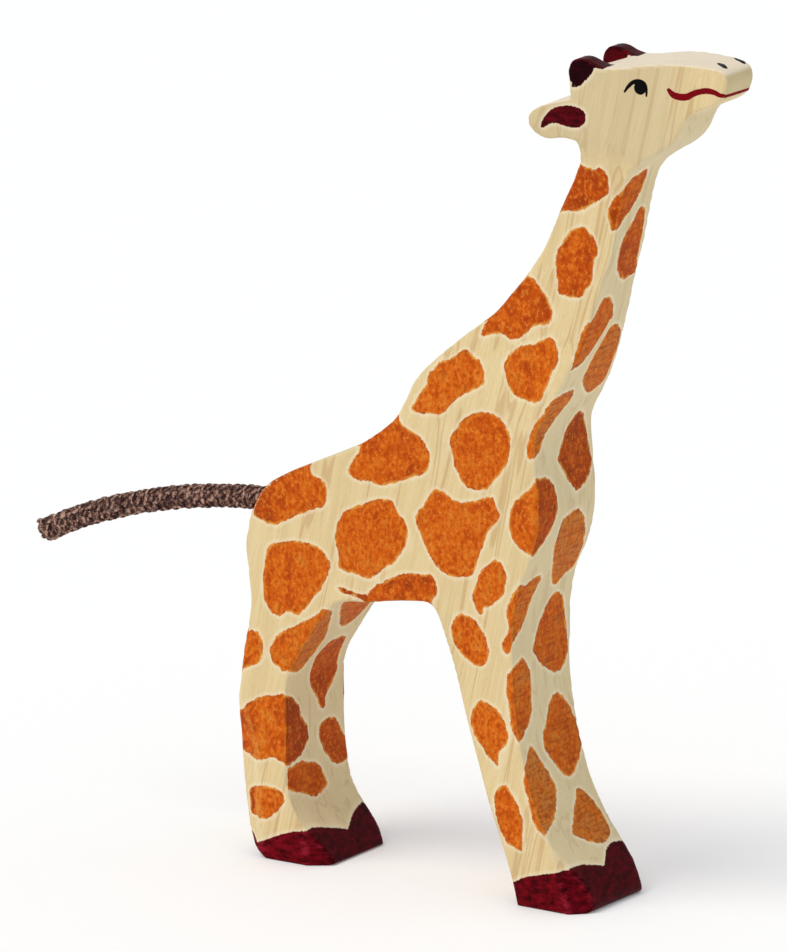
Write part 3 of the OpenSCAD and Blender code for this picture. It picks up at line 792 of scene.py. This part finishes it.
def face_marks(x, y, z, n):
    """Distances to the red of the mouth and to the black of the eyes and nostrils."""
    on_face = (z > HEAD_LEVEL) & (x > 28)
    mouth = stroke_distance(x, z, MOUTH, MOUTH_HALF)
    front_mouth = np.abs(z - FRONT_MOUTH_LEVEL + FRONT_MOUTH_SLOPE * (y + 4)) - FRONT_MOUTH_HALF
    front_mouth = np.maximum(front_mouth, np.abs(y) - FRONT_MOUTH_WIDE)
    mouth = np.where((n[:, 0] > 0.75) & (x > 49), front_mouth, mouth)
    ball = (np.hypot((x - EYE_AT[0]) / EYE_RADIUS, (z - EYE_AT[1]) / EYE_RADIUS) - 1) * 1.1
    eye = np.minimum(ball, stroke_distance(x, z, EYE_LASH, EYE_LASH_HALF))
    eye = np.where(np.abs(n[:, 1]) > 0.4, eye, FACE_CLEAR)
    slits = np.full(len(x), FACE_CLEAR)
    for slit in NOSTRILS:
        slits = np.minimum(slits, stroke_distance(x, y, slit, NOSTRIL_HALF))
    slits = np.where((n[:, 2] > 0.35) & (x > 44), slits, FACE_CLEAR)
    black = np.minimum(np.clip(eye, -FACE_CLEAR, FACE_CLEAR), slits)
    red = np.where(on_face, mouth, FACE_CLEAR)
    return np.clip(red, -FACE_CLEAR, FACE_CLEAR), np.where(on_face, black, FACE_CLEAR)


def paint_fields(p, n):
    """The distances to each paint, the stain's tone, the painted shade on the head's sides, the muzzle's
    front and the horns' sides, and the painted light on the head's top, by name.
    """
    x, y, z = p[:, 0], p[:, 1], p[:, 2]
    stain, tone, band = stain_marks(x, y, z, n)
    red, black = face_marks(x, y, z, n)
    upward = soft_step(0.35, 0.8, n[:, 2])
    on_head = soft_step(139, 144, z)
    return dict(
        stain=stain, tone=shaded_behind(tone, x, y, z), band=band,
        maroon=maroon_marks(x, y, z, n), red=red, black=black,
        # painted shade on the head's sides, the muzzle's front and the horns' sides, and painted light on
        # the head's top
        head=on_head * (1 - upward) * (1 - soft_step(36, 46, x)),
        crown=upward * (z > HEAD_LEVEL),
        muzzle_painted_shade=on_head * soft_step(0.55, 0.9, n[:, 0]) * (x > 45),
        deep=on_head * (z > 151) * soft_step(0.5, 0.8, np.abs(n[:, 1])) * (np.abs(y) > 5),
        ridge=ridge_gap(p))


def ridge_gap(p):
    """Distance to the nearest carved edge, where paint wears and a highlight is painted."""
    side_gap = np.abs(outline.read(p[:, 0], p[:, 2]))
    face_gap = np.abs(np.abs(p[:, 1]) - half_thickness(p[:, 0], p[:, 2]))
    ridge = np.maximum(side_gap, face_gap)
    other = np.minimum(side_gap, face_gap)
    for plane, here in knife_cuts(p):
        edge = np.maximum(np.abs(plane), other)
        ridge = np.where(here, np.minimum(ridge, edge), ridge)
    return ridge


# ---------------------------------------------------------------- node graphs


class Value:
    """A shader output that adds, subtracts and multiplies as a number does."""

    def __init__(self, graph, socket):
        self.graph = graph
        self.socket = socket

    def __add__(self, other):
        return self.graph.math("ADD", self, other)

    def __radd__(self, other):
        return self.graph.math("ADD", other, self)

    def __sub__(self, other):
        return self.graph.math("SUBTRACT", self, other)

    def __rsub__(self, other):
        return self.graph.math("SUBTRACT", other, self)

    def __mul__(self, other):
        return self.graph.math("MULTIPLY", self, other)


class Graph:
    """Short forms for the shader nodes that the materials use."""

    def __init__(self, name):
        self.material = bpy.data.materials.new(name)
        self.material.use_nodes = True
        self.tree = self.material.node_tree
        self.shader = self.tree.nodes["Principled BSDF"]

    def node(self, kind, inputs, out=0, **settings):
        """A node with these settings and inputs; returns one of its outputs."""
        n = self.tree.nodes.new("ShaderNode" + kind)
        for key, value in settings.items():
            setattr(n, key, value)
        self.feed(n, inputs)
        return Value(self, n.outputs[out])

    def feed(self, node, inputs):
        for key, value in inputs.items():
            socket = node.inputs[key]
            if isinstance(value, Value):
                self.tree.links.new(value.socket, socket)
            elif isinstance(value, tuple) and len(value) < len(socket.default_value):
                socket.default_value = (*value, 1.0)
            else:
                socket.default_value = value

    def math(self, how, a, b=0.0, c=0.0):
        return self.node("Math", {0: a, 1: b, 2: c}, operation=how)

    def step(self, low, high, value):
        """0 at low, 1 at high, smooth between them; high may be the smaller."""
        limits = (low, high, 0.0, 1.0) if low < high else (high, low, 1.0, 0.0)
        inputs = dict(zip(("Value", "From Min", "From Max", "To Min", "To Max"), (value, *limits)))
        return self.node("MapRange", inputs, interpolation_type="SMOOTHSTEP")

    def mix(self, amount, a, b):
        return self.node("Mix", {0: amount, 6: a, 7: b}, 2, data_type="RGBA")

    def layers(self, colour, rows):
        """One colour after another laid over the first, each by its own amount."""
        for amount, over in rows:
            colour = self.mix(amount, colour, over)
        return colour

    def blend(self, amount, a, b):
        return self.node("Mix", {0: amount, 2: a, 3: b}, data_type="FLOAT")

    def attribute(self, name):
        return self.node("Attribute", {}, "Fac", attribute_name=name)

    def noise(self, size, detail, rough, distortion=0.0, shift=(0.0, 0.0, 0.0), turn=(0.0, 0.0, 0.0)):
        """Noise of size cycles per millimetre along each axis of the object, turned first."""
        place = self.node("TexCoord", {}, "Object")
        place = self.node("Mapping", {"Vector": place, "Rotation": turn, "Scale": (1 / MM,) * 3})
        place = self.node("Mapping", {"Vector": place, "Scale": size, "Location": shift})
        return self.noise_at(place, detail, rough, distortion)

    def noise_at(self, place, detail, rough, distortion=0.0):
        return self.node("TexNoise", {
            "Vector": place, "Scale": 1.0, "Detail": detail, "Roughness": rough,
            "Distortion": distortion}, "Fac")

    def ramp(self, value, stops):
        out = self.node("ValToRGB", {0: value})
        band = out.socket.node.color_ramp
        while len(band.elements) < len(stops):
            band.elements.new(0.5)
        for e, (at, colour) in zip(band.elements, stops):
            e.position = at
            e.color = (*colour, 1.0)
        return out

    def bump(self, height, distance, strength):
        return self.node("Bump", {"Height": height, "Distance": distance, "Strength": strength})

    def surface(self, inputs):
        """Feeds the shader's own sockets and returns the material."""
        self.feed(self.shader, inputs)
        return self.material


# the grain leans from upright by this turn about Y
GRAIN = (0.0, -math.radians(12), 0.0)


def thrice(size):
    """The same number three times."""
    return (size, size, size)


def maple_wood(g, fibre, speck, cloud, fleck, band):
    """Oiled pale maple: growth rings, fibres, threads and pores, with painted shade on the sawn band, the
    head's sides and the muzzle's front, and painted light on the head's top.
    """
    broad = g.noise((0.32, 0.32, 0.014), 3.0, 0.55, 0.6, turn=GRAIN)
    streak = g.noise((0.42, 0.42, 0.018), 1.0, 0.4, 0.5, (11, 2, 5), GRAIN)
    thread = g.step(0.565, 0.60, streak) * g.step(0.68, 0.63, streak)
    return g.layers(g.ramp(broad, [
        (0.25, (0.70, 0.525, 0.265)), (0.5, (0.765, 0.585, 0.30)), (0.75, (0.81, 0.64, 0.35))]), [
            (g.step(0.45, 0.75, fibre) * 0.30, (0.92, 0.81, 0.58)),
            (g.step(0.47, 0.25, fibre) * 0.26, (0.56, 0.39, 0.18)),
            (g.step(0.5, 0.72, speck) * 0.16, (0.56, 0.42, 0.24)),
            (thread * 0.48, (0.54, 0.32, 0.13)),
            (g.step(0.62, 0.74, fleck) * 0.40, (0.42, 0.27, 0.12)),
            (g.step(0.55, 0.75, cloud) * 0.14, (0.70, 0.50, 0.26)),
            # painted shade: darker on the sawn band, the head's sides and the muzzle's front; painted
            # light: paler on the head's top
            (band * 0.45, (0.64, 0.575, 0.375)),
            (g.attribute("head") * 0.42, (0.57, 0.475, 0.30)),
            (g.attribute("muzzle_painted_shade") * 0.52, (0.55, 0.45, 0.23)),
            (g.attribute("crown") * 0.62, (0.92, 0.81, 0.69))])


def brown_stain(g, stain_d, fibre, speck, cloud, saw, rag_fine, band):
    """Brushed stain that pools, dots the pores, darkens across saw marks and thins at its rim, with
    painted shade on the sawn band.
    """
    pool = g.noise((0.42, 0.42, 0.3), 3.0, 0.55, 0.5, (7, 3, 8))
    dots = g.noise((1.35, 1.35, 1.1), 3.0, 0.6, shift=(6, 6, 2))
    tone = g.attribute("tone") + (cloud - 0.5) * 0.9 + (pool - 0.5) * 2.5
    rim = g.step(-0.75, -0.1, stain_d) * g.step(0.35, 0.62, rag_fine)
    thin = g.step(-0.7, -0.05, stain_d) * g.step(0.58, 0.38, pool)
    return g.layers(g.ramp(g.math("MULTIPLY_ADD", tone, 0.5, 0.5), [
        (0.0, (0.25, 0.028, 0.003)), (0.28, (0.49, 0.068, 0.004)), (0.5, (0.665, 0.122, 0.005)),
        (0.75, (0.66, 0.185, 0.018)), (1.0, (0.57, 0.225, 0.05))]), [
            (g.step(0.5, 0.22, fibre) * 0.35, (0.40, 0.050, 0.003)),
            (g.step(0.55, 0.8, fibre) * 0.40, (0.83, 0.27, 0.03)),
            (g.step(0.52, 0.70, speck) * 0.42, (0.38, 0.045, 0.003)),
            (g.step(0.48, 0.30, speck) * 0.30, (0.80, 0.25, 0.03)),
            (g.step(0.53, 0.62, dots) * 0.60, (0.38, 0.045, 0.002)),
            (g.step(0.46, 0.38, dots) * 0.50, (0.82, 0.26, 0.03)),
            # painted shade: the stain is darker on the sawn band
            (band * 0.22, (0.33, 0.060, 0.0015)),
            (g.step(0.48, 0.66, saw) * band * 0.60, (0.28, 0.042, 0.006)),
            (rim * 0.50, (0.30, 0.034, 0.003)),
            (thin * 0.8, (0.86, 0.37, 0.06))])


def maroon_paint(g, gloss, band):
    """Glossy paint of the hooves, horns and ears, paler along the edges where it wears and where a
    highlight is painted, and darker as painted shade on the sawn band, the head and the horns' sides.
    """
    # paler along the edges: partly wear, partly a painted highlight
    edge = g.step(0.95, 0.1, g.attribute("ridge")) * g.step(0.42, 0.62, gloss)
    return g.layers(g.ramp(gloss, [
        (0.33, (0.040, 0.0004, 0.002)), (0.5, (0.125, 0.0009, 0.005)), (0.72, (0.24, 0.003, 0.012))]), [
            (edge * 0.45, (0.34, 0.022, 0.045)),
            # painted shade: darker on the sawn band, the head and the horns' sides
            (band * 0.62, (0.018, 0.0003, 0.0015)),
            (g.attribute("head") * 0.45, (0.014, 0.0003, 0.0015)),
            (g.attribute("deep") * 0.85, (0.006, 0.0002, 0.0015))])


def painted_maple():
    """The carved board: maple with brushed spots, painted hooves, horns and ears, and a face."""
    g = Graph("painted_maple")
    fibre = g.noise((2.6, 2.6, 0.09), 4.0, 0.62, shift=(3, 7, 1), turn=GRAIN)
    fleck = g.noise((5.5, 5.5, 0.55), 2.0, 0.6, shift=(5, 1, 9), turn=GRAIN)
    speck = g.noise(thrice(3.1), 3.0, 0.7)
    cloud = g.noise(thrice(0.11), 2.0, 0.5, shift=(4, 4, 4))
    saw = g.noise((0.25, 0.25, 1.9), 3.0, 0.65, shift=(2, 2, 2))
    gloss = g.noise((0.55, 0.55, 1.1), 4.0, 0.6, shift=(3, 3, 6))
    # the sawn band: the wood, the stain and the maroon carry painted shade there, and its saw marks show
    band = g.attribute("band")

    # the ragged edges of the stain and the paints
    rag = g.noise((0.9, 0.9, 0.5), 3.0, 0.6, turn=GRAIN)
    rag_fine = g.noise((3.2, 3.2, 1.2), 2.0, 0.6, shift=(1, 1, 1), turn=GRAIN)
    stain_d = g.attribute("stain") + ((rag - 0.5) * 1.2 + (rag_fine - 0.5) * 0.38)
    stained = g.step(0.11, -0.11, stain_d)
    painted = g.step(0.06, -0.06, g.attribute("maroon") + (rag_fine - 0.5) * 0.55)
    red = g.step(0.05, -0.05, g.attribute("red") + (rag_fine - 0.5) * 0.22)
    black = g.step(0.04, -0.04, g.attribute("black") + (rag_fine - 0.5) * 0.12)

    halo = g.step(0.9, 0.15, g.math("MINIMUM", stain_d, g.attribute("maroon"))) * 0.34
    wood = g.mix(halo, maple_wood(g, fibre, speck, cloud, fleck, band), (0.95, 0.86, 0.66))
    stain = brown_stain(g, stain_d, fibre, speck, cloud, saw, rag_fine, band)
    # paler along the carved edges: partly worn stain, partly a painted highlight
    edge_wear_and_highlight = g.step(0.42, 0.08, g.attribute("ridge")) * g.step(0.34, 0.55, rag)
    colour = g.layers(g.mix(stained, wood, stain), [
        (edge_wear_and_highlight * stained * 0.55, (0.74, 0.31, 0.06)),
        (edge_wear_and_highlight * (1.0 - stained) * 0.22, (0.92, 0.84, 0.62)),
        (painted, maroon_paint(g, gloss, band)),
        (red, g.mix(g.step(0.35, 0.65, speck), (0.14, 0.001, 0.004), (0.27, 0.003, 0.008))),
        (black, (0.003, 0.003, 0.003))])

    rough = g.blend(stained, 0.60, 0.55) + (fibre - 0.5) * 0.22
    rough = g.blend(painted, rough, 0.24 + gloss * 0.2)
    coated = g.math("MAXIMUM", g.math("MAXIMUM", painted, red), black)
    height = fibre * 0.5 + fleck * -0.25 + saw * band * 0.8 + painted * 0.35
    return g.surface({
        "Base Color": colour,
        "Roughness": g.blend(black, rough, 0.28),
        "Specular IOR Level": g.blend(coated, g.blend(stained, 0.18, 0.05), 0.035),
        "Normal": g.bump(height, 0.00009, 0.8)})


def dried_glue():
    g = Graph("glue")
    spots = g.noise(thrice(1.7), 4.0, 0.6)
    return g.surface({
        "Base Color": g.ramp(spots, [
            (0.3, (0.52, 0.38, 0.16)), (0.55, (0.72, 0.60, 0.34)), (0.8, (0.80, 0.72, 0.5))]),
        "Roughness": g.math("MULTIPLY_ADD", spots, 0.3, 0.3),
        "Normal": g.bump(spots, 0.0002, 0.6)})


def yarn(name, dark, middle, pale, fleck):
    """Twisted cotton yarn: plies that wind round it, stray fibres in other colours, and painted shade in
    the grooves between the plies.
    """
    g = Graph(name)
    along = g.attribute("along")
    around = g.attribute("around")
    ply = g.math("SINE", along * 5.2 + around * 2.0)
    hair = g.noise(thrice(6), 4.0, 0.7)
    place = g.node("CombineXYZ", {0: along * 1.5, 1: around * 0.45, 2: g.attribute("number") * 3.7})
    patch = g.noise_at(place, 3.0, 0.65)
    odd = g.noise(thrice(1.9), 2.0, 0.6, shift=(8, 1, 4))
    # the plies add a little painted shade in their grooves to the base value
    value = patch * 1.05 + (hair - 0.5) * 0.75 + ply * 0.07
    colour = g.layers(g.ramp(value, [(0.34, dark), (0.52, middle), (0.72, pale)]), [
        (g.step(0.55, 0.7, odd) * 0.45, fleck),
        # painted shade: darker in the grooves between the plies
        (g.step(-0.2, -0.95, ply) * 0.45, dark)])
    return g.surface({
        "Base Color": colour, "Roughness": 0.92, "Specular IOR Level": 0.08,
        "Sheen Weight": 0.08, "Sheen Roughness": 0.5,
        "Normal": g.bump(ply * 0.5 + hair * 0.9, 0.00012, 0.9)})


# ---------------------------------------------------------------- the painted board

# the step and the corners of the grid that the board is contoured on
STEP = 0.55
BOARD_BOX = (-53.1, -11.2, -1.0), (53.1, 11.2, 162.6)
# where the face and ears are painted: ranges of x, y and z
FINE_BOXES = [((30, 36.5), (-9, 9), (153.5, 158.5)), ((38.8, 52.5), (-9, 9), (154, 162)),
              ((12.5, 24), (-9, 9), (145, 151.5))]


def cut_finer(mesh):
    """Cuts the triangles inside the fine boxes smaller."""
    work = bmesh.new()
    work.from_mesh(mesh)
    edges = {}
    for face in work.faces:
        c = face.calc_center_median() / MM
        if any(all(lo < v < hi for v, (lo, hi) in zip(c, box)) for box in FINE_BOXES):
            edges.update(dict.fromkeys(face.edges))
    bmesh.ops.subdivide_edges(work, edges=list(edges), cuts=2, use_grid_fill=True)
    bmesh.ops.triangulate(work, faces=[f for f in work.faces if len(f.verts) > 4])
    work.to_mesh(mesh)
    work.free()


def make_board():
    vertices, triangles = contour(carved, *BOARD_BOX, STEP)
    mesh = new_mesh("painted_wooden_body", vertices, triangles.tolist())
    cut_finer(mesh)
    points = np.empty(len(mesh.vertices) * 3)
    mesh.vertices.foreach_get("co", points)
    points = points.reshape(-1, 3) / MM
    normals = slope(carved, points, 0.12)
    dress(mesh, paint_fields(points, normals), painted_maple())
    mesh.normals_split_custom_set_from_vertices(normals.tolist())
    return add_object("painted_wooden_body", mesh)


body = make_board()
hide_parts("carved_body")
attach(body, "figure")

# ---------------------------------------------------------------- the braided cord tail

ROUTE = [[-46.9, 65.6], [-49.5, 65.3], [-55, 64.9], [-62.5, 64], [-70.5, 62.5], [-78, 60.6],
         [-86.4, 57.9], [-94, 54.8], [-100.8, 51.4]]
CARRIERS = 8
PITCH = 25.0
YARN_MIDDLE, YARN_SWING = 1.52, 0.33
YARN_WIDE, YARN_THICK = 0.62, 0.40
CORE_YARNS = 7
CORE_RING, CORE_RADIUS = 0.62, 0.33


def even_line(route, gap):
    """Points an equal distance apart along a smooth run in the middle plane."""
    line = smooth_run(route, 40)
    run = np.concatenate([[0], np.cumsum(np.hypot(*np.diff(line, axis=0).T))])
    s = np.arange(0, run[-1] + 1e-6, gap)
    s[-1] = min(s[-1], run[-1])
    x, z = [np.interp(s, run, line[:, i]) for i in (0, 1)]
    return s, np.stack([x, np.zeros(len(s)), z], 1)


cord_run, cord_line = even_line(ROUTE, 0.25)
cord_length = cord_run[-1]


def cord_frame(at):
    """Centre, sideways and upward axes of the cord at each distance along it."""
    def on_line(d):
        return np.stack([np.interp(d, cord_run, cord_line[:, i]) for i in range(3)], 1)

    inner = np.clip(at, 0.3, cord_length - 0.3)
    ahead = on_line(inner + 0.3) - on_line(inner - 0.3)
    ahead /= np.linalg.norm(ahead, axis=1, keepdims=True)
    centre = on_line(at) + ahead * np.maximum(at - cord_length, 0)[:, None]
    side = np.tile([0.0, 1.0, 0.0], (len(at), 1))
    return centre, side, np.cross(ahead, side)


class Strands:
    """Collects yarns round the cord's middle line, with their along, around and number values."""

    def __init__(self):
        self.points, self.faces = [], []
        self.values = {"along": [], "around": [], "number": []}
        self.total = 0

    def add(self, at, theta, radius, wide, thick, number, sides=8):
        """A closed tube of elliptical section, at an angle and a radius from the middle line."""
        centre, side, up = cord_frame(at)
        outward = side * np.cos(theta)[:, None] + up * np.sin(theta)[:, None]
        path = centre + outward * radius[:, None]
        count = len(path)
        ahead = np.gradient(path, axis=0)
        ahead /= np.linalg.norm(ahead, axis=1, keepdims=True)
        out = outward - (outward * ahead).sum(1, keepdims=True) * ahead
        out /= np.linalg.norm(out, axis=1, keepdims=True)
        flat = np.cross(ahead, out)
        angle = 2 * math.pi * np.arange(sides) / sides
        ring = (path[:, None] + flat[:, None] * (np.cos(angle)[:, None] * wide[:, None, None])
                + out[:, None] * (np.sin(angle)[:, None] * thick[:, None, None]))
        run = np.concatenate([[0], np.cumsum(np.linalg.norm(np.diff(path, axis=0), axis=1))])
        self.points.append(ring.reshape(-1, 3))
        self.values["along"].append(np.repeat(run, sides))
        self.values["around"].append(np.tile(np.sin(angle) * 1.5 + np.cos(angle), count))
        self.values["number"].append(np.full(count * sides, float(number)))
        base = self.total
        i = base + np.arange(count - 1)[:, None] * sides
        q = np.arange(sides)[None]
        p = (q + 1) % sides
        quads = np.stack([i + q, i + p, i + sides + p, i + sides + q], -1)
        self.faces += quads.reshape(-1, 4).tolist()
        self.faces.append([base + sides - 1 - v for v in range(sides)])
        self.faces.append([base + (count - 1) * sides + v for v in range(sides)])
        self.total += count * sides

    def make(self, name, material):
        mesh = new_mesh(name, np.vstack(self.points), self.faces)
        dress(mesh, {key: np.concatenate(parts) for key, parts in self.values.items()}, material)
        return add_object(name, mesh)


def make_braid(rng):
    """The sheath: carriers of both hands, which pass over and under each other by turns."""
    braid = Strands()
    turn = 2 * math.pi / PITCH
    for hand in (1, -1):
        for i in range(CARRIERS):
            last = cord_length + rng.uniform(-0.5, 0.35)
            at = np.arange(0.0, last, 0.3)
            theta = 2 * math.pi * i / CARRIERS + hand * turn * at + 0.05 * np.sin(at * 1.1 + 3 * i)
            swing = np.cos(turn * CARRIERS * at + (0 if hand > 0 else math.pi))
            uneven = 0.06 * np.sin(at * 0.9 + 1.7 * i + hand) + 0.05 * np.sin(at * 2.3 + 0.9 * i)
            flare = 0.15 * soft_step(cord_length - 3.0, cord_length, at) * (0.5 + rng.random())
            radius = YARN_MIDDLE + YARN_SWING * swing + uneven + flare
            wide = YARN_WIDE + 0.12 * swing + 0.06 * np.sin(at * 1.7 + i)
            braid.add(at, theta, radius, wide, YARN_THICK + 0.05 * swing, i + 10 * hand)
    return braid.make("braided_cord_tail", yarn(
        "cord", (0.011, 0.0025, 0.004), (0.105, 0.036, 0.028), (0.58, 0.36, 0.27),
        (0.16, 0.13, 0.075)))


def make_core(rng):
    """The core: one yarn in the middle and the others round it, standing out of the cut end."""
    core = Strands()
    for i in range(CORE_YARNS):
        reach = cord_length + rng.uniform(0.3, 1.0)
        at = np.arange(1.0, reach, 0.4)
        theta = 2 * math.pi * i / (CORE_YARNS - 1) + 0.04 * at
        flare = 0.3 * soft_step(cord_length - 1.5, cord_length + 1, at)
        radius = (0.0 if i == 0 else CORE_RING) + flare * (i > 0) + 0.03 * np.sin(at * 2 + i)
        size = np.full(len(at), CORE_RADIUS)
        core.add(at, theta, radius, size, size, i, sides=7)
    return core.make("cord_core_yarns", yarn(
        "cord_core", (0.26, 0.23, 0.19), (0.56, 0.54, 0.47), (0.78, 0.77, 0.70),
        (0.42, 0.44, 0.33)))


rng = np.random.default_rng(12)
cord = make_braid(rng)
core_yarns = make_core(rng)
bpy.context.view_layer.update()
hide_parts("tail_braid")
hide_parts("tail_core")
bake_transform(cord)
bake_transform(core_yarns)

# ---------------------------------------------------------------- the hidden glue

# the cord's seated end, inside the glue, keeps the material that it has in the frame
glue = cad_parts["tail_glue"]
glue.data.materials.clear()
glue.data.materials.append(dried_glue())

# ---------------------------------------------------------------- stage

FLOOR_HALF = 20000.0
SUN_FROM = Vector((-0.35, -0.5, 0.9))


def make_floor():
    """White paper that glows faintly."""
    corners = np.array([(-1, -1, 0), (1, -1, 0), (1, 1, 0), (-1, 1, 0)]) * FLOOR_HALF
    mesh = new_mesh("floor", corners, [(0, 1, 2, 3)])
    g = Graph("paper")
    paper = g.noise(thrice(0.8), 4.0, 0.6)
    mesh.materials.append(g.surface({
        "Base Color": g.ramp(paper, [(0.3, thrice(0.92)), (0.7, thrice(0.95))]),
        "Roughness": g.math("MULTIPLY_ADD", paper, 0.1, 0.85),
        "Specular IOR Level": 0.1, "Emission Color": thrice(1.0), "Emission Strength": 0.1}))
    return add_object("floor", mesh)


def make_light():
    """A pale blue sky and one broad warm sun, high on the camera's left."""
    world = bpy.data.worlds.new("world")
    bpy.context.scene.world = world
    world.use_nodes = True
    sky = world.node_tree.nodes["Background"]
    sky.inputs["Color"].default_value = (0.93, 0.96, 1.0, 1)
    sky.inputs["Strength"].default_value = 0.68
    sun = bpy.data.lights.new("key", "SUN")
    sun.energy = 1.25
    sun.color = (1.0, 0.96, 0.88)
    sun.angle = 0.6
    key = add_object("key", sun)
    key.rotation_mode = "QUATERNION"
    key.rotation_quaternion = (-SUN_FROM).to_track_quat("-Z", "Y")


make_floor()
make_light()
bpy.context.scene.view_settings.view_transform = "Standard"
